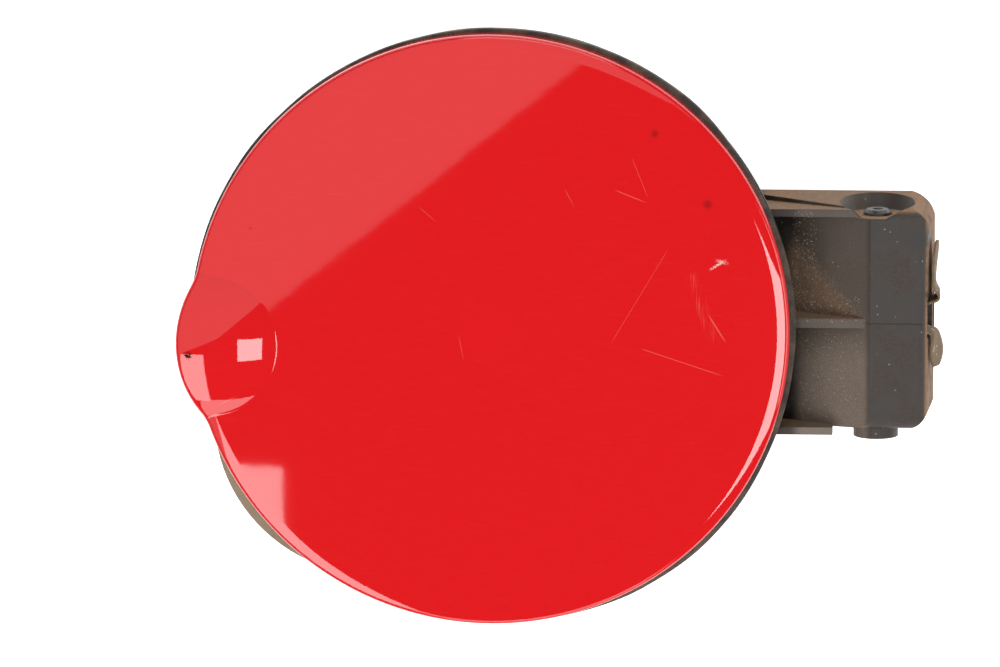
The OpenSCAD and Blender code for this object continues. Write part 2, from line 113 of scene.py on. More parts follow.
def noise(tree, place, scale, detail=2.0, roughness=0.5):
    """A cloudy pattern from 0 to 1, with scale in cells to the millimetre."""
    return add(tree, "ShaderNodeTexNoise", {"Vector": place, "Scale": scale, "Detail": detail,
                                            "Roughness": roughness}).outputs[0]


def mixed(tree, share, *pair):
    """A colour between two, each a hex colour or the socket of another colour."""
    first, second = (linear(colour) if isinstance(colour, str) else colour for colour in pair)
    return add(tree, "ShaderNodeMix", {0: share, 6: first, 7: second}, data_type="RGBA").outputs[2]


def bumped(tree, height, strength, distance, over=None):
    """A normal raised by a pattern, over another normal where one is given."""
    sockets = {"Height": height, "Strength": strength, "Distance": distance}
    if over is not None:
        sockets["Normal"] = over
    return add(tree, "ShaderNodeBump", sockets).outputs[0]


def soft_edge(tree):
    """The normal with its sharp edges broken by half a millimetre."""
    return add(tree, "ShaderNodeBevel", {"Radius": 0.0005}, samples=4).outputs[0]


# Polypropylene moulded against a spark-eroded tool: a dull, finely pitted black. The road's brown
# dust lies thick on the box's upper wall and the slope, and thins to a grey bloom elsewhere.
polypropylene, tree, shader, mm = finish_of("moulded_polypropylene", Roughness=0.52, IOR=1.49)
x, y, z = parts_of(tree, mm)
facing = parts_of(tree, add(tree, "ShaderNodeTexCoord").outputs["Normal"])
cloud = noise(tree, mm, 0.09, 6.0, 0.62)
grit = noise(tree, mm, 1.1, 5.0, 0.7)
fine = noise(tree, mm, 3.2, 3.0, 0.7)

# Where the hinge box begins, the crease at which its front face's slope ends, its right wall, and the
# mould's parting line, in mm
BOX_X, CREASE_X, WALL_X, PARTING_Y = 75.0, 107.0, 120.5, 1.25
on_box = ramp(tree, x, BOX_X, BOX_X + 2.0)
on_slope = ramp(tree, x, CREASE_X + 0.5, CREASE_X - 2.0)
upper_wall = product(tree, on_box, ramp(tree, facing["Y"], 0.45, 0.8), ramp(tree, grit, 0.2, 0.42))
right_wall = product(tree, ramp(tree, x, WALL_X, WALL_X + 2.5), ramp(tree, facing["X"], 0.5, 0.85),
                     ramp(tree, cloud, 0.3, 0.5))

# The heap over the rib falls from HEAP_Y[0] high at HEAP_X[0] to HEAP_Y[1] at HEAP_X[1], with a ragged top
HEAP_X, HEAP_Y, RAGGED = (86.0, 105.0), (23.0, 2.0), 14.0
heap_top = add(tree, "ShaderNodeMapRange", {"Value": x, 1: HEAP_X[0], 2: HEAP_X[1], 3: HEAP_Y[0],
                                            4: HEAP_Y[1]}).outputs[0]
under_top = maths(tree, "SUBTRACT", maths(tree, "ADD", product(tree, grit, RAGGED), heap_top), y)
heap = product(tree, ramp(tree, under_top, 4.0, 12.0), ramp(tree, y, 1.2, 2.6), ramp(tree, x, 82.0, 85.0),
               on_slope, ramp(tree, z, -2.4, -3.4), ramp(tree, fine, 0.3, 0.6))
# The slope is painted a paler grey from x 84 mm to its crease, more strongly towards low y.
slope_paler_grey = product(tree, ramp(tree, x, 84.0, 88.0), on_slope, ramp(tree, y, 4.0, -12.0, 0.3, 0.85),
                     ramp(tree, fine, 0.25, 0.65, 0.45, 1.0))
shelf = product(tree, ramp(tree, facing["Z"], 0.8, 0.95), ramp(tree, z, -14.0, -12.8),
                ramp(tree, x, -20.0, -30.0), ramp(tree, fine, 0.2, 0.45))
patches = product(tree, ramp(tree, fine, 0.5, 0.68), ramp(tree, cloud, 0.42, 0.64), 0.3)
thick = most(tree, upper_wall, right_wall, heap, patches)
spots = add(tree, "ShaderNodeTexVoronoi", {"Vector": mm, "Scale": 0.55}).outputs
chosen = ramp(tree, parts_of(tree, spots["Color"])[0], 0.72, 0.8)
specks = product(tree, ramp(tree, spots["Distance"], 0.13, 0.06), on_box, chosen)

colour = mixed(tree, thick, mixed(tree, ramp(tree, cloud, 0.3, 0.7), "#1c1612", "#28201a"),
               mixed(tree, grit, "#6a4f39", "#9b7a5e"))
# Colours laid over the base: the painted paler grey on the slope, tan dust on the shelf and pale specks.
for share, tint in ((slope_paler_grey, "#6f6256"), (shelf, "#8d775e"), (specks, "#9a9082")):
    colour = mixed(tree, share, colour, tint)
tree.links.new(colour, shader.inputs["Base Color"])
tree.links.new(ramp(tree, thick, 0.0, 0.6, 0.52, 0.95), shader.inputs["Roughness"])
parting = product(tree, ramp(tree, unsigned(tree, maths(tree, "SUBTRACT", y, PARTING_Y)), 0.22, 0.08),
                  ramp(tree, x, CREASE_X - 3.0, CREASE_X - 1.0))
bump = bumped(tree, noise(tree, mm, 2.4, 3.0), 0.25, 0.0002, over=soft_edge(tree))
bump = bumped(tree, product(tree, thick, fine), 0.8, 0.0006, over=bump)
bump = bumped(tree, parting, 0.7, 0.0003, over=bump)
tree.links.new(bump, shader.inputs["Normal"])
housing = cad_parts["housing"]
housing.data.materials.clear()
housing.data.materials.append(polypropylene)

# Road grit
# Pale grains of grit that have dried on with the dust, in the corner over the hinge box's rib and on
# its lower slope. They lie on the moulding and stay as they are.


def grown(name, mesh, tree, body, **inputs):
    """A plain mesh grown from another by a tree of geometry nodes, riding a body."""
    made = bpy.data.objects.new(name, mesh)
    bpy.context.scene.collection.objects.link(made)
    modifier = made.modifiers.new("grown", "NODES")
    modifier.node_group = tree
    for socket in tree.interface.items_tree:
        if socket.in_out == "INPUT" and socket.name in inputs:
            modifier[socket.identifier] = inputs[socket.name]
    evaluated = made.evaluated_get(bpy.context.evaluated_depsgraph_get())
    grown_mesh = bpy.data.meshes.new_from_object(evaluated)
    made.modifiers.remove(modifier)
    made.data = grown_mesh
    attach(made, body)
    return made


def tree_of(name, **sockets):
    """A geometry tree with named inputs, and its input and output nodes."""
    made = bpy.data.node_groups.new(name, "GeometryNodeTree")
    made.interface.new_socket("Geometry", in_out="INPUT", socket_type="NodeSocketGeometry")
    made.interface.new_socket("Geometry", in_out="OUTPUT", socket_type="NodeSocketGeometry")
    for key, kind in sockets.items():
        made.interface.new_socket(key, in_out="INPUT", socket_type="NodeSocket" + kind)
    return made, add(made, "NodeGroupInput").outputs, add(made, "NodeGroupOutput").inputs


# Dried road grit: pale, dull and a little mottled.
mineral, tree, shader, mm = finish_of("mineral_grit", Roughness=0.9)
colour = mixed(tree, ramp(tree, noise(tree, mm, 0.8), 0.35, 0.65), "#7a6a58", "#b0a494")
tree.links.new(colour, shader.inputs["Base Color"])

# How far the grains vary in size, and how far up a face has to look for them to lie on it
GRAIN_SIZES, FACING_UP = (0.35, 1.5), 0.3
tree, given, made = tree_of("scattered_grains", Low="Vector", High="Vector", Density="Float",
                            Radius="Float", Seed="Int")
scatter = add(tree, "GeometryNodeDistributePointsOnFaces",
              {"Mesh": given["Geometry"], "Density": given["Density"], "Seed": given["Seed"]}).outputs
place = add(tree, "GeometryNodeInputPosition").outputs[0]
inside = add(tree, "FunctionNodeCompare", {0: parts_of(tree, scatter["Normal"])["Z"], 1: FACING_UP},
             operation="GREATER_THAN").outputs[0]
for corner, test in (("Low", "GREATER_THAN"), ("High", "LESS_THAN")):
    past = add(tree, "FunctionNodeCompare", {4: place, 5: given[corner]}, data_type="VECTOR",
               mode="ELEMENT", operation=test).outputs[0]
    inside = add(tree, "FunctionNodeBooleanMath", {0: inside, 1: past}, operation="AND").outputs[0]
kept = add(tree, "GeometryNodeSeparateGeometry", {0: scatter["Points"], 1: inside},
           domain="POINT").outputs[0]
size = add(tree, "FunctionNodeRandomValue", {2: GRAIN_SIZES[0], 3: GRAIN_SIZES[1], "Seed": given["Seed"]},
           data_type="FLOAT").outputs[1]
grain = add(tree, "GeometryNodeMeshIcoSphere", {"Radius": given["Radius"], "Subdivisions": 1}).outputs[0]
grains = add(tree, "GeometryNodeInstanceOnPoints",
             {"Points": kept, "Instance": grain, "Scale": size}).outputs[0]
grains = add(tree, "GeometryNodeRealizeInstances", {0: grains}).outputs[0]
tree.links.new(add(tree, "GeometryNodeSetMaterial", {0: grains, "Material": mineral}).outputs[0], made[0])

# Each patch of grit: its corners in metres, grains to the square metre, their radius and the seed
for name, low, high, density, radius, seed in (
        ("corner_grit", (0.0845, 0.0025, -0.03), (0.0915, 0.0335, 0.0), 1.2e6, 0.00013, 4),
        ("rib_grit", (0.0845, 0.0015, -0.03), (0.104, 0.009, 0.0), 1.2e6, 0.00012, 8),
        ("slope_grit", (0.0865, -0.0285, -0.03), (0.105, -0.0025, 0.0), 7.0e5, 0.0001, 15)):
    grit_on = grown(name, housing.data.copy(), tree, "bowl", Low=low, High=high, Density=density,
                    Radius=radius, Seed=seed)

# Rim seal
# The soft lip on the bowl's flange that keeps road spray out of the recess.
# EPDM rubber, moulded as a ring and stretched over the flange, so it lies a little unevenly.


# Half the angle between two sides, in radians, past which a corner stays as it is
NEARLY_STRAIGHT = 1.5


def filleted(points, radius, steps=4):
    """A closed outline with every corner rounded by one radius, or less where it is short."""
    result = []
    count = len(points)
    for i, p in enumerate(points):
        a, b, c = (np.array(q, float) for q in (points[i - 1], p, points[(i + 1) % count]))
        u, v = a - b, c - b
        lu, lv = np.linalg.norm(u), np.linalg.norm(v)
        u, v = u / lu, v / lv
        half = math.acos(max(-1, min(1, float(u @ v)))) / 2
        if half > NEARLY_STRAIGHT:
            result.append(tuple(b))
            continue
        cut = min(radius / math.tan(half), 0.45 * lu, 0.45 * lv)
        for k in range(steps + 1):
            t = k / steps
            bend = (1 - t) ** 2 * (b + u * cut) + 2 * t * (1 - t) * b + t * t * (b + v * cut)
            result.append(tuple(bend))
    return result


def mesh_piece(name, vertices_mm, faces, *materials, indices=None):
    """A smooth-shaded piece from points in mm, with its place in its mesh."""
    mesh = bpy.data.meshes.new(name)
    mesh.from_pydata([[c / 1000 for c in v] for v in vertices_mm], [], faces)
    for material in materials:
        mesh.materials.append(material)
    if indices is not None:
        mesh.polygons.foreach_set("material_index", indices)
    mesh.validate()
    mesh.shade_smooth()
    piece = bpy.data.objects.new(name, mesh)
    bpy.context.scene.collection.objects.link(piece)
    return piece


def outward(mesh, merge=False):
    """Turns the faces of a closed mesh outwards, once its doubles are merged where it has any."""
    made = bmesh.new()
    made.from_mesh(mesh)
    if merge:
        bmesh.ops.remove_doubles(made, verts=made.verts, dist=1e-7)
    bmesh.ops.recalc_face_normals(made, faces=made.faces)
    made.to_mesh(mesh)
    made.free()


def turned(name, outline, centre, material, along="Z", steps=96, reach=None):
    """A ring turned from a closed outline of (radius, height) about an axis through centre."""
    vertices, faces = [], []
    count = len(outline)
    for i in range(steps):
        a = 2 * math.pi * i / steps
        for r, h in outline:
            rr = r + (reach(a, r) if reach else 0)
            point = {"Z": (rr * math.cos(a), rr * math.sin(a), h),
                     "X": (h, rr * math.cos(a), rr * math.sin(a)),
                     "Y": (rr * math.sin(a), h, rr * math.cos(a))}[along]
            vertices.append([point[k] + centre[k] for k in range(3)])
        j = (i + 1) % steps
        for k in range(count):
            m = (k + 1) % count
            faces.append((i * count + k, j * count + k, j * count + m, i * count + m))
    piece = mesh_piece(name, vertices, faces, material)
    outward(piece.data, merge=True)
    piece.data.shade_smooth()
    return piece


# EPDM, moulded and weathered: near black with a grey bloom, matt, with dust in its pores.
epdm, tree, shader, mm = finish_of("weathered_epdm", Roughness=0.72, IOR=1.5)
cloud = noise(tree, mm, 0.16, 5.0, 0.6)
grain = noise(tree, mm, 2.2, 4.0, 0.7)
worn = product(tree, ramp(tree, cloud, 0.42, 0.66), ramp(tree, grain, 0.35, 0.62))
rubber = mixed(tree, ramp(tree, cloud, 0.3, 0.7), "#2a2622", "#463d35")
rubber = mixed(tree, product(tree, worn, 0.6), rubber, "#6a5a48")
tree.links.new(rubber, shader.inputs["Base Color"])
tree.links.new(bumped(tree, grain, 0.35, 0.0002), shader.inputs["Normal"])

# The ring's radii and heights on the flange, and the radius inside which the lip holds still
SEAL_IN, SEAL_OUT, FLANGE_R, STILL_R = 83.0, 86.3, 85.75, 84.6
SEAL_LOW, FLANGE_TOP, SEAL_TOP = 0.3, 2.0, 2.8

# How far the lip stands off its round line, in mm, by the angle round the ring
LIP_STRAY = [(0, -0.3), (30, -0.9), (50, -0.05), (70, -0.2), (90, -0.35), (110, -0.5), (130, -0.6),
             (150, -0.05), (170, 0.0), (200, 0.0), (240, -0.35), (260, -0.65), (280, -0.35), (300, 0.3),
             (310, 0.6), (320, 0.4), (335, -0.2)]


def lip_stray(a, r):
    """How far a point of the lip at radius r strays outward, in mm."""
    degrees = math.degrees(a) % 360
    table = LIP_STRAY + [(360, LIP_STRAY[0][1])]
    for (a0, r0), (a1, r1) in zip(table, table[1:]):
        if a0 <= degrees <= a1:
            t = (degrees - a0) / (a1 - a0)
            t = t * t * (3 - 2 * t)
            ripple = 0.06 * math.sin(9 * a) + 0.04 * math.sin(23 * a + 1)
            return (r0 + (r1 - r0) * t + ripple) * max(0, (r - STILL_R) / (SEAL_OUT - STILL_R))


seal_outline = filleted([(SEAL_IN, FLANGE_TOP), (FLANGE_R, FLANGE_TOP), (FLANGE_R, SEAL_LOW),
                         (SEAL_OUT, SEAL_LOW), (SEAL_OUT, SEAL_TOP), (SEAL_IN, SEAL_TOP)], 0.35, 3)
rim_seal = turned("rim_seal_lip", seal_outline, (0, 0, 0), epdm, steps=480, reach=lip_stray)
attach(rim_seal, "bowl")
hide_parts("rim_seal")

# Door
# The round outer door with a slight crown, and a ball-shaped swell at its free edge that lifts a lip
# for the finger. Painted in the car's colour under clear lacquer outside, black primer inside.
# Four screws hold it to the arm's plate.

# The door's middle, radius, height, crown and wall, and its skirt, rounded edge and rolled rim
DOOR_AT, DOOR_R, CROWN_Z, CROWN_RISE, SKIN = (-0.6, 0.0), 85.0, 12.0, 2.5, 2.2
DOME_R = (DOOR_R ** 2 + CROWN_RISE ** 2) / (2 * CROWN_RISE)
SKIRT_Z, EDGE_R, ROLL_FROM, ROLL_R = 3.3, 1.4, 81.3, 18.0

# The ball that the swell is a cap of, how it is drawn out, and the lip's round outline
BALL_AT, BALL_R, BALL_TOP, DRAWN_OUT = (-77.6, -4.4), 58.0, 13.3, 0.71
LIP_AT, LIP_R = (-55.6, -4.0), 33.7

# How wide the creases are that round the swell and the lip into the disc
SWELL_CREASE, LIP_CREASE = 0.12, 1.2


def blended(a, b, width, sign):
    """The smaller (sign 1) or larger (sign -1) of two values, with the crease between them rounded."""
    h = np.clip(0.5 + sign * 0.5 * (b - a) / width, 0, 1)
    return b * (1 - h) + a * h - sign * width * h * (1 - h)


def door_reach(a):
    """Radius of the door's outline in one direction: the disc and the lip of the swell."""
    d = np.array([np.cos(a), np.sin(a)])
    along = LIP_AT[0] * d[0] + LIP_AT[1] * d[1]
    inside = along ** 2 - (LIP_AT[0] ** 2 + LIP_AT[1] ** 2) + LIP_R ** 2
    lip = np.where(along > 0, along + np.sqrt(np.maximum(inside, 0)), 0)
    return blended(np.full_like(lip, DOOR_R), lip, LIP_CREASE, -1)


def door_face(x, y):
    """Height of the door's outer face."""
    r = np.hypot(x, y)
    face = CROWN_Z - r ** 2 / (2 * DOME_R) - np.clip(r - ROLL_FROM, 0, None) ** 2 / (2 * ROLL_R)
    return blended(face, swell(x, y), SWELL_CREASE, -1)


def swell(x, y):
    """Height of the ball that the swell is a cap of, drawn out towards the free side."""
    across = np.where(x < BALL_AT[0], DRAWN_OUT, 1) * (x - BALL_AT[0])
    under = np.maximum(BALL_R ** 2 - across ** 2 - (y - BALL_AT[1]) ** 2, 1)
    return BALL_TOP - BALL_R + np.sqrt(under)


def crowded(low, high, count, density, samples=1200):
    """Steps from low to high that lie closer together where the density is high."""
    fine = np.linspace(low, high, samples)
    weight = np.concatenate([[0], np.cumsum(density((fine[1:] + fine[:-1]) / 2))])
    return np.interp(np.linspace(0, weight[-1], count), weight, fine)


# Rings from the middle to the rounded edge, steps of the rounding, and rings of the door's back
MIDDLE_RINGS, FACE_RINGS, ROUND_STEPS, BACK_RINGS = 14, 80, 8, (24, 8)
MIDDLE_R, SPREAD_FROM = (2, 52), 55

# How much closer the rings lie near the swell's foot, within some height of it, and out at the rim
AT_FOOT, FOOT_REACH, AT_RIM, RIM_FROM = 9, 0.4, 3, 80


def door_column(a, edge_at):
    """Points (radius, height) of the door's section in one direction, from its middle round to its back."""
    d = np.array([math.cos(a), math.sin(a)])

    def height(r):
        """Height of the outer face at this radius."""
        return door_face(d[0] * r, d[1] * r)

    def crease(r):
        """How closely the rings lie: more so at the swell's foot and in the rolled rim."""
        step = swell(d[0] * r, d[1] * r) - CROWN_Z + r ** 2 / (2 * DOME_R)
        return 1 + AT_FOOT * np.exp(-(step / FOOT_REACH) ** 2) + AT_RIM * (r > RIM_FROM)

    fall = math.atan(float(height(edge_at - EDGE_R - 0.1) - height(edge_at - EDGE_R + 0.1)) / 0.2)
    flat = edge_at - EDGE_R * (1 - math.sin(fall))
    rings = np.concatenate([np.linspace(*MIDDLE_R, MIDDLE_RINGS),
                            crowded(SPREAD_FROM, flat, FACE_RINGS, crease)])
    column = list(zip(rings, height(rings)))
    flat_z = column[-1][1]
    for p in np.linspace(fall, math.pi / 2, ROUND_STEPS + 1)[1:]:
        column.append((flat + EDGE_R * (math.sin(p) - math.sin(fall)),
                       flat_z - EDGE_R * (math.cos(fall) - math.cos(p))))
    column += [(edge_at, SKIRT_Z + 0.35), (edge_at - 0.1, SKIRT_Z + 0.1), (edge_at - 0.35, SKIRT_Z),
               (edge_at - SKIN + 0.35, SKIRT_Z), (edge_at - SKIN, SKIRT_Z + 0.35)]
    back = (edge_at - SKIN) * np.concatenate([np.linspace(1.0, 0.6, BACK_RINGS[0]),
                                              np.linspace(0.55, 0.03, BACK_RINGS[1])])
    return d, column + list(zip(back, height(back) - SKIN))


# Directions round the door in degrees, closest together at the swell. The paint ends under the skirt.
near_swell = np.linspace(160, 209, 280, endpoint=False)
elsewhere = np.linspace(209, 520, 260, endpoint=False)
angles = np.radians(np.concatenate([near_swell, elsewhere]))
columns = [door_column(a, edge_at) for a, edge_at in zip(angles, door_reach(angles))]
length = len(columns[0][1])
painted = MIDDLE_RINGS + FACE_RINGS + ROUND_STEPS + 2
vertices = [(DOOR_AT[0] + d[0] * r, DOOR_AT[1] + d[1] * r, z) for d, column in columns for r, z in column]
top_pole, low_pole = len(vertices), len(vertices) + 1
vertices += [(*DOOR_AT, CROWN_Z), (*DOOR_AT, CROWN_Z - SKIN)]
faces, indices = [], []
for i in range(len(columns)):
    j = (i + 1) % len(columns)
    for k in range(length - 1):
        faces.append((i * length + k, i * length + k + 1, j * length + k + 1, j * length + k))
        indices.append(0 if k < painted else 1)
    faces.append((top_pole, i * length, j * length))
    faces.append((low_pole, j * length + length - 1, i * length + length - 1))
    indices += [0, 1]

# Solid red base coat under clear lacquer: a deep, hard gloss. Years of washing left fine swirls,
# with a few long scratches, dark specks, a stone chip and a chip on the swell's lip.
lacquered_red, tree, shader, mm = finish_of("lacquered_red_paint", Roughness=0.3, IOR=1.5)
shader.inputs["Coat Roughness"].default_value = 0.028
shader.inputs["Coat IOR"].default_value = 1.5
shader.inputs["Specular IOR Level"].default_value = 0.0
flat_mm = add(tree, "ShaderNodeVectorMath", {0: mm, 1: (1.0, 1.0, 0.0)}, operation="MULTIPLY").outputs[0]


def mark(tree, x, y, radius, soft):
    """A round mark on the door's face, 1 at its middle."""
    gap = add(tree, "ShaderNodeVectorMath", {0: flat_mm, 1: (x, y, 0.0)}, operation="DISTANCE").outputs[1]
    return ramp(tree, gap, radius + soft, radius)


def scratch(tree, start, end, width):
    """A fine line on the door's face from start to end, in mm."""
    start, end = Vector((*start, 0)), Vector((*end, 0))
    way = end - start
    length = way.length
    away = add(tree, "ShaderNodeVectorMath", {0: flat_mm, 1: start}, operation="SUBTRACT").outputs[0]
    along, across = (add(tree, "ShaderNodeVectorMath", {0: away, 1: axis / length},
                         operation="DOT_PRODUCT").outputs[1] for axis in (way, Vector((-way.y, way.x, 0))))
    return product(tree, ramp(tree, unsigned(tree, across), width, width * 0.2),
                   ramp(tree, along, -0.5, 2.0), ramp(tree, along, length + 0.5, length - 3.0))


def mapped(tree, place, scale, turn=0.0):
    """Places drawn out along the axes, after a turn in plan."""
    return add(tree, "ShaderNodeMapping", {0: place, "Rotation": (0, 0, turn), "Scale": scale}).outputs[0]


# Each scratch: its two ends and its half width, in mm
SCRATCHES = [((34.7, 41.5), (43.8, 37.8), 0.2), ((39.5, 50.8), (44.3, 39.0), 0.1),
             ((42.3, -4.0), (65.8, -11.9), 0.16), ((33.9, -2.4), (50.0, 24.8), 0.08),
             ((20.5, 42.0), (23.5, 36.3), 0.12), ((-20.8, 36.4), (-15.2, 31.5), 0.1),
             ((-9.4, -0.4), (-7.8, -8.3), 0.1), ((-77.6, -21.6), (-72.4, -18.8), 0.2),
             ((61.2, 6.0), (66.5, -2.5), 0.3)]
long_marks = most(tree, *[scratch(tree, *ends) for ends in SCRATCHES])
streaks = ramp(tree, noise(tree, mapped(tree, flat_mm, (4.0, 0.12, 1.0), -1.23), 1.0), 0.5, 0.75)
scuff = product(tree, scratch(tree, (56.0, 18.0), (63.5, -3.0), 2.4), streaks)
hairs = []
for turn, size in ((0.35, 1.1), (1.9, 0.8), (2.7, 1.4)):
    lines = mapped(tree, flat_mm, (0.12 * size, 2.4 * size, 1.0), turn)
    hairs.append(ramp(tree, noise(tree, lines, 1.0, 0.0), 0.7, 0.82))
wear = most(tree, product(tree, long_marks, 0.2), product(tree, scuff, 0.22),
            product(tree, most(tree, *hairs), 0.012))
specks = most(tree, mark(tree, 46.0, 57.5, 0.2, 1.5), mark(tree, 61.0, 37.5, 0.3, 1.6),
              mark(tree, -68.5, 29.3, 0.1, 0.6))
lip_chip = product(tree, mark(tree, -86.3, -7.0, 0.5, 1.2), ramp(tree, noise(tree, mm, 1.6), 0.35, 0.5))
chip = product(tree, most(tree, scratch(tree, (63.4, 21.4), (67.0, 20.5), 0.7),
                          scratch(tree, (61.6, 18.7), (66.4, 21.6), 0.5)),
               ramp(tree, noise(tree, mm, 2.6, 3.0), 0.42, 0.5))
red = mixed(tree, wear, "#c21216", "#f0a090")
red = mixed(tree, most(tree, product(tree, specks, 0.45), lip_chip), red, "#3a0e0d")
red = mixed(tree, chip, red, "#d8bcb2")
tree.links.new(red, shader.inputs["Base Color"])
tree.links.new(ramp(tree, most(tree, lip_chip, chip), 0.2, 0.8, 1.0, 0.0), shader.inputs["Coat Weight"])
bump = bumped(tree, noise(tree, mm, 0.22, 1.0), 0.006, 0.0004)
tree.links.new(bump, shader.inputs["Normal"])
tree.links.new(bump, shader.inputs["Coat Normal"])

# Primer inside the door: a thin, dull black with overspray grain.
black_primer, tree, shader, mm = finish_of("black_primer", Roughness=0.45, IOR=1.5)
grain = noise(tree, mm, 0.8, 4.0)
tree.links.new(mixed(tree, grain, "#151414", "#262423"), shader.inputs["Base Color"])
tree.links.new(bumped(tree, grain, 0.2, 0.0003), shader.inputs["Normal"])

door = mesh_piece("painted_door", vertices, faces, lacquered_red, black_primer, indices=indices)
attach(door, "door")
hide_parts("door_panel")

# Hinge arm and striker
# The ribbed swan-neck that carries the door, and the eye that takes the lock's pin.
# Both are injection moulded in black glass-filled nylon.

# Glass-filled nylon: black with a faint grey streak where the glass comes to the surface.
nylon, tree, shader, mm = finish_of("glass_filled_nylon", Roughness=0.42, IOR=1.53)
flow = noise(tree, mapped(tree, mm, (0.3, 1.6, 0.3)), 0.6, 5.0)
tree.links.new(mixed(tree, ramp(tree, flow, 0.4, 0.75), "#1c1c1e", "#3a3a3b"), shader.inputs["Base Color"])
tree.links.new(ramp(tree, flow, 0.3, 0.7, 0.36, 0.55), shader.inputs["Roughness"])
tree.links.new(bumped(tree, flow, 0.2, 0.0002, over=soft_edge(tree)), shader.inputs["Normal"])
for name in ("hinge_arm", "striker"):
    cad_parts[name].data.materials.clear()
    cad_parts[name].data.materials.append(nylon)

# Door screws
# Four thread-forming screws hold the arm's plate to the door's pads.
# Zinc-plated steel, cold-headed, with a round recess in the head.

# Bright zinc plating, a little uneven in tone and gloss.
zinc, tree, shader, mm = finish_of("zinc_plated_steel", Roughness=0.38, Metallic=1.0)
spangle = noise(tree, mm, 1.4, 4.0)
tree.links.new(mixed(tree, spangle, "#8d8f92", "#c2c3c4"), shader.inputs["Base Color"])
tree.links.new(ramp(tree, spangle, 0.3, 0.7, 0.3, 0.5), shader.inputs["Roughness"])

# The screws' places, head, shank and thread
SCREW_X, SCREW_Y, SCREW_LOW, SCREW_TOP = (33.0, 64.0), (-15.3, 20.3), 1.802, 8.384
HEAD_T, HEAD_R, RECESS_R, RECESS_T, SCREW_R, PITCH, FLANK = 1.6, 3.2, 1.5, 1.2, 1.6, 1.0, 0.14
outline = [(RECESS_R, SCREW_LOW + 0.1), (HEAD_R - 0.6, SCREW_LOW + 0.1), (HEAD_R, SCREW_LOW + 0.6),
           (HEAD_R, SCREW_LOW + HEAD_T), (SCREW_R - FLANK, SCREW_LOW + HEAD_T)]
height = SCREW_LOW + HEAD_T + 0.8
while height < SCREW_TOP - 1.2:
    outline += [(SCREW_R, height), (SCREW_R - FLANK, height + PITCH / 2)]
    height += PITCH
outline += [(SCREW_R - FLANK, SCREW_TOP - 1), (0.5, SCREW_TOP), (0.01, SCREW_TOP),
            (0.01, SCREW_LOW + RECESS_T), (RECESS_R, SCREW_LOW + RECESS_T)]
one_screw = turned("door_screw", outline, (0, 0, 0), zinc, steps=40)
tree, given, made = tree_of("screws_at_points", Screw="Object", Turn="Float")
screw = add(tree, "GeometryNodeObjectInfo", {0: given["Screw"]}).outputs["Geometry"]
turn = add(tree, "ShaderNodeCombineXYZ", {2: given["Turn"]}).outputs[0]
placed = add(tree, "GeometryNodeInstanceOnPoints", {"Points": given["Geometry"], "Instance": screw,
                                                    "Rotation": turn}).outputs[0]
placed = add(tree, "GeometryNodeRealizeInstances", {0: placed}).outputs[0]
tree.links.new(add(tree, "GeometryNodeSetMaterial", {0: placed, "Material": zinc}).outputs[0], made[0])
screw_points = bpy.data.meshes.new("screw_points")
screw_points.from_pydata([(x / 1000, y / 1000, 0) for x in SCREW_X for y in SCREW_Y], [], [])
screws = grown("door_screws_placed", screw_points, tree, "door", Screw=one_screw, Turn=0.6)
bpy.data.objects.remove(one_screw)
screws.data.shade_smooth()
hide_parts("door_screws")

# Neck gaiter, buffers and grommet
# The gaiter snaps into the bowl's floor and grips the filler neck, the buffers carry the shut door,
# and the grommet seals the lock's pin. All are moulded EPDM.

# The neck's place and radius, the hole in the bowl's floor, the floor's two sides and the gaiter's foot
NECK_AT, NECK_R, HOLE_R = (-35.032, -29.657), 31.0, 37.5
FLOOR_Z, UNDER_Z, REST_Z = -38.5, -40.5, -52.8
gaiter_outline = filleted([
    (35.5, FLOOR_Z + 1.6), (40.0, FLOOR_Z + 1.6), (40.0, FLOOR_Z + 0.05), (HOLE_R, FLOOR_Z + 0.05),
    (HOLE_R, UNDER_Z - 0.05), (39.5, UNDER_Z - 0.05), (39.5, UNDER_Z - 1.6), (HOLE_R, UNDER_Z - 2.6),
    (33.4, REST_Z + 5.5), (34.0, REST_Z + 4.6), (34.0, REST_Z + 3.2), (33.4, REST_Z + 2.6), (33.4, REST_Z),
    (NECK_R, REST_Z), (NECK_R, REST_Z + 6.2), (35.5, UNDER_Z - 2.2)], 0.5, 3)
gaiter = turned("neck_gaiter_sleeve", gaiter_outline, (*NECK_AT, 0), epdm, steps=128)
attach(gaiter, "bowl")
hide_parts("neck_gaiter")

# The buffers' places, the gap under the shut door, and the radius and foot of a head and of its stem
BUFFERS_AT, BUFFER_GAP = {"upper": (-42.71, 62.14), "lower": (-29.78, -69.49)}, 0.4
BUFFER_R, BUFFER_LOW, STEM_R, STEM_LOW = 4.5, -4.0, 2.0, -11.0
for name, (x, y) in BUFFERS_AT.items():
    top = CROWN_Z - (x * x + y * y) / (2 * DOME_R) - SKIN - BUFFER_GAP
    outline = filleted([(0.01, BUFFER_LOW), (BUFFER_R, BUFFER_LOW), (BUFFER_R, top - 1.3), (3.4, top),
                        (1.6, top), (1.2, top - 0.8), (0.01, top - 0.8)], 0.4, 3)
    head = turned("stop_buffer_" + name + "_head", outline, (x, y, 0), epdm, steps=48)
    stem_outline = filleted([(0.01, STEM_LOW), (STEM_R, STEM_LOW), (STEM_R, -3.9), (0.01, -3.9)], 0.5, 3)
    stem = turned("stop_buffer_" + name + "_stem", stem_outline, (x, y, 0), epdm, steps=32)
    for piece in (head, stem):
        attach(piece, "bowl")
    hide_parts("stop_buffer_" + name)

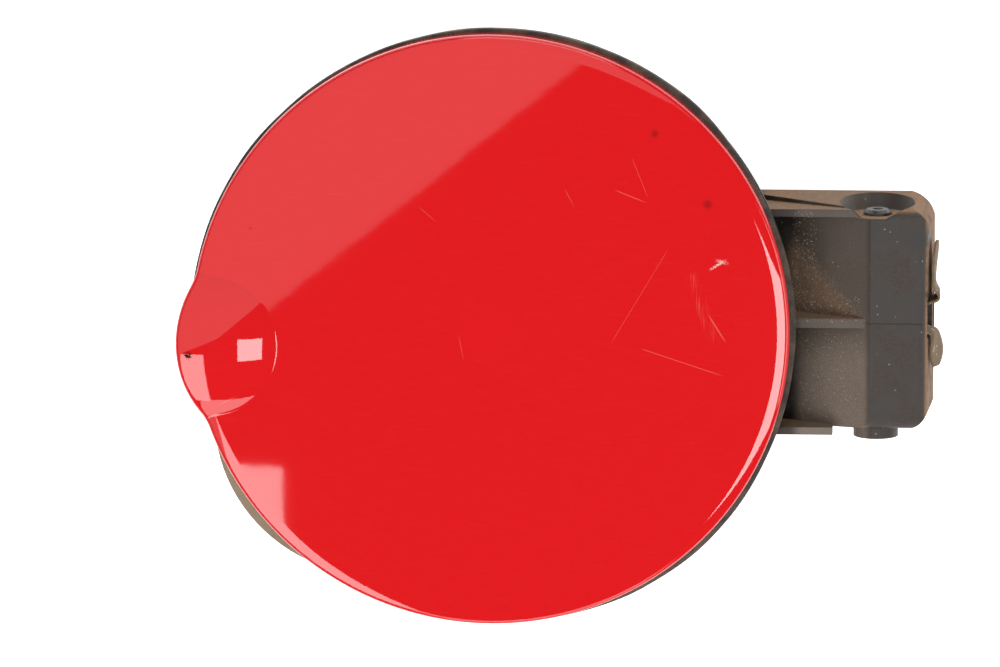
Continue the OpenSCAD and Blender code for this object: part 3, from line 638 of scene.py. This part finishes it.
# The lock pin's bore and height, the two sides of the bowl's wall, and the pin's direction in degrees
PIN_R, PIN_Z, SEAT_IN, SEAT_OUT, LOCK_TURN = 4.1, -12.0, -77.88, -83.9, 164.6
grommet_outline = filleted([
    (PIN_R, SEAT_OUT - 1.6), (PIN_R + 3.6, SEAT_OUT - 1.6), (PIN_R + 3.6, SEAT_OUT),
    (PIN_R + 2.05, SEAT_OUT), (PIN_R + 2.05, SEAT_IN), (PIN_R + 2.9, SEAT_IN),
    (PIN_R + 2.4, SEAT_IN + 1.4), (PIN_R, SEAT_IN + 1.4)], 0.4, 3)
grommet = turned("lock_pin_bush", grommet_outline, (0, 0, PIN_Z), epdm, along="X", steps=64)
grommet.data.transform(Matrix.Rotation(math.radians(LOCK_TURN - 180), 4, "Z"))
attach(grommet, "bowl")
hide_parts("lock_pin_grommet")

# Hinge axle
# The pin that the door's arm turns on, pushed in from the top wall's scallop into the blind bearing.
# Black acetal, turned, with a chamfered head.

# Acetal: a smooth, waxy black, rubbed greyer in patches.
acetal, tree, shader, mm = finish_of("black_acetal", Roughness=0.3, IOR=1.48)
rub = noise(tree, mm, 0.7, 4.0)
tree.links.new(mixed(tree, ramp(tree, rub, 0.4, 0.7), "#2b2826", "#4f4a44"), shader.inputs["Base Color"])
tree.links.new(ramp(tree, rub, 0.3, 0.7, 0.25, 0.5), shader.inputs["Roughness"])

# The axle's line, its radius and its two ends
HINGE_X, HINGE_Z, AXLE_R, AXLE_Y = 108.75, -10.6, 4.0, (-31.06, 33.1)
axle_outline = filleted([(0.01, AXLE_Y[0]), (AXLE_R - 0.8, AXLE_Y[0]), (AXLE_R, AXLE_Y[0] + 0.8),
                         (AXLE_R, AXLE_Y[1] - 0.9), (AXLE_R - 0.9, AXLE_Y[1]), (1.6, AXLE_Y[1]),
                         (1.2, AXLE_Y[1] - 1.2), (0.01, AXLE_Y[1] - 1.2)], 0.3, 3)
axle = turned("hinge_axle_pin", axle_outline, (HINGE_X, 0, HINGE_Z), acetal, along="Y", steps=64)
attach(axle, "bowl")
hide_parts("hinge_axle")

# Leaf spring
# The spring that snaps over the arm's cam and holds the door open or shut.
# A strip of spring steel, bent, hooked in the box's right wall, and rusted over.

# Spring steel under a coat of brown rust, rubbed bare in small patches.
spring_steel, tree, shader, mm = finish_of("rusted_spring_steel", Roughness=0.6)
cloud = noise(tree, mm, 0.35, 6.0, 0.65)
grit = noise(tree, mm, 1.6, 5.0, 0.7)
bare = product(tree, ramp(tree, cloud, 0.56, 0.66), ramp(tree, grit, 0.42, 0.55))
colour = mixed(tree, bare, mixed(tree, grit, "#3d2b1c", "#836c4e"), "#a9a49a")
tree.links.new(colour, shader.inputs["Base Color"])
tree.links.new(bare, shader.inputs["Metallic"])
tree.links.new(ramp(tree, bare, 0.0, 1.0, 0.88, 0.32), shader.inputs["Roughness"])
tree.links.new(bumped(tree, grit, 0.6, 0.0004), shader.inputs["Normal"])

# The strip's thickness and width, its middle's height, and its reach up and down from there
SPRING_T, SPRING_W, BOX_UP, UP, DOWN = 0.6, 12.0, 2.5, 21.5, 14.8

# Outside and inside of the right wall that it clasps, the knees between them, and the furthest out it goes
OUT, INN, KNOT, FURTHEST = 125.12, 118.9, 5.6, 128.85
spring_path = [(OUT + 0.6, UP), (OUT + 0.3, 0.85 * UP), (OUT, 0.65 * UP), (OUT, 0.42 * UP),
               (OUT + 1.3, KNOT + 0.9), (OUT + 0.9, KNOT - 0.4), (OUT - 1.5, KNOT - 1.3), (INN + 1, 2.6),
               (INN, 1.6), (INN, -1.6), (INN + 1, -2.6), (OUT - 1.5, 1.3 - KNOT), (OUT + 0.2, 0.4 - KNOT),
               (OUT + 0.6, -0.5 * DOWN), (OUT + 0.8, -0.75 * DOWN), (OUT + 0.7, -DOWN)]


def smooth_path(points, steps):
    """A curve through the points, each stretch cut into steps."""
    points = [np.array(p, float) for p in points]
    padded = [2 * points[0] - points[1]] + points + [2 * points[-1] - points[-2]]
    result = []
    for i in range(1, len(padded) - 2):
        a, b, c, d = padded[i - 1:i + 3]
        for k in range(steps):
            t = k / steps
            result.append(0.5 * (2 * b + (c - a) * t + (2 * a - 5 * b + 4 * c - d) * t ** 2
                                 + (3 * b - a - 3 * c + d) * t ** 3))
    return result + [points[-1]]


# The ends narrow over some steps of the path, and the strip is twisted more and more towards them
path = smooth_path(spring_path, 6)
NARROW, NARROW_STEPS = 0.75, 11
UPPER_LEAN, LOWER_LEAN, UPPER_STEPS, LOWER_FROM = 0.9, 2.6, 24, 68
last = len(path) - 1
across = 7
vertices, faces = [], []
for i, p in enumerate(path):
    ahead = path[min(i + 1, last)] - path[max(i - 1, 0)]
    side = np.array([-ahead[1], ahead[0]]) / np.linalg.norm(ahead)
    half = SPRING_W / 2 * (1 - NARROW * max(0, 1 - min(i, last - i) / NARROW_STEPS) ** 2)
    lean = UPPER_LEAN * max(0, 1 - i / UPPER_STEPS)
    lean += LOWER_LEAN * max(0, (i - LOWER_FROM) / (last - LOWER_FROM))
    for s in (-0.5, 0.5):
        for k in range(across):
            t = 2 * k / (across - 1) - 1
            out = min(p[0] + side[0] * s * SPRING_T - lean * t * half / (SPRING_W / 2), FURTHEST)
            vertices.append((out, BOX_UP + p[1] + side[1] * s * SPRING_T, HINGE_Z + half * t))
ring = 2 * across
order = list(range(across)) + list(range(2 * across - 1, across - 1, -1))
for i in range(last):
    for k in range(ring):
        m = (k + 1) % ring
        faces.append((i * ring + order[k], i * ring + order[m], (i + 1) * ring + order[m],
                      (i + 1) * ring + order[k]))
faces.append(tuple(reversed(order)))
faces.append(tuple(last * ring + k for k in order))
spring = mesh_piece("leaf_spring_strip", vertices, faces, spring_steel)
outward(spring.data)
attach(spring, "bowl")
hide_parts("leaf_spring")

# Studio
# A pale floor under the part, soft light all round, and the camera where the photograph's was.

# Metres to the pixel at the door's face, the photograph's width in pixels, the camera's distance in
# metres and its sensor's width in mm
SCALE, PHOTO_W, DISTANCE, SENSOR = 0.0002832, 1000, 2.4, 36
TO_CAMERA = Vector((0.052, 0.187, 0.981)).normalized()
aim = Vector((0.00240, 0.00012, CROWN_Z / 1000))
camera = bpy.data.objects.new("camera", bpy.data.cameras.new("camera"))
camera.data.sensor_width = SENSOR
camera.data.lens = SENSOR * DISTANCE / (PHOTO_W * SCALE)
camera.data.clip_start, camera.data.clip_end = 0.05, 20
upward = (Vector((0, 1, 0)) - TO_CAMERA * TO_CAMERA.y).normalized()
turn = Matrix((upward.cross(TO_CAMERA), upward, TO_CAMERA)).transposed()
camera.matrix_world = Matrix.Translation(aim + TO_CAMERA * DISTANCE) @ turn.to_4x4()
bpy.context.scene.collection.objects.link(camera)
bpy.context.scene.camera = camera
bpy.context.scene.view_settings.view_transform = "Standard"

# Matt white paper that gives off a little light of its own, to be as pale as the photograph's ground.
pale, tree, shader, mm = finish_of("pale_floor", Roughness=0.9)
shader.inputs["Base Color"].default_value = linear("#f4f4f4")
shader.inputs["Emission Color"].default_value = linear("#ffffff")
shader.inputs["Emission Strength"].default_value = 0.75
floor_mesh = bpy.data.meshes.new("floor")
FLOOR_HALF, floor_z = 8, REST_Z / 1000 - 0.0002
corners = [(x * FLOOR_HALF, y * FLOOR_HALF, floor_z) for x, y in ((-1, -1), (1, -1), (1, 1), (-1, 1))]
floor_mesh.from_pydata(corners, [], [(0, 1, 2, 3)])
floor_mesh.materials.append(pale)
floor = bpy.data.objects.new("floor", floor_mesh)
bpy.context.scene.collection.objects.link(floor)

world = bpy.data.worlds.new("studio")
world.use_nodes = True
world.node_tree.nodes["Background"].inputs[0].default_value = (1, 1, 1, 1)
world.node_tree.nodes["Background"].inputs[1].default_value = 0.1
bpy.context.scene.world = world

# Plain rectangular softboxes in a dim studio. The lacquer mirrors the broad one on the left as a pale
# veil, the lower left one as a band along the rim, and the far one as a small window in the swell.


def softbox(name, place, width, height, radiance, turned_by=None):
    """A rectangular light of one radiance that looks at the part, or straight down and turned in plan."""
    light = bpy.data.lights.new(name, "AREA")
    light.shape, light.size, light.size_y = "RECTANGLE", width, height
    light.energy = radiance * math.pi * width * height
    made = bpy.data.objects.new(name, light)
    made.location = place
    if turned_by is None:
        made.rotation_euler = (-Vector(place)).to_track_quat("-Z", "Y").to_euler()
    else:
        made.rotation_euler = (0, 0, math.radians(turned_by))
    bpy.context.scene.collection.objects.link(made)


softbox("veil_softbox", (-1.53, 1.26, 3.0), 6.0, 4.0, 1.1, turned_by=39.3)
softbox("lower_left_softbox", (-1.45, -1.84, 3.0), 1.8, 2.0, 7.0, turned_by=0)
softbox("far_softbox", (1.98, -1.87, 8.0), 2.1, 1.9, 11.0, turned_by=0)
softbox("right_softbox", (2.6, -0.4, 2.0), 1.8, 1.8, 4.0)
softbox("front_softbox", (0.3, -2.8, 1.8), 1.8, 1.8, 4.0)
softbox("back_softbox", (0.4, 2.8, 1.8), 1.8, 1.8, 3.0)
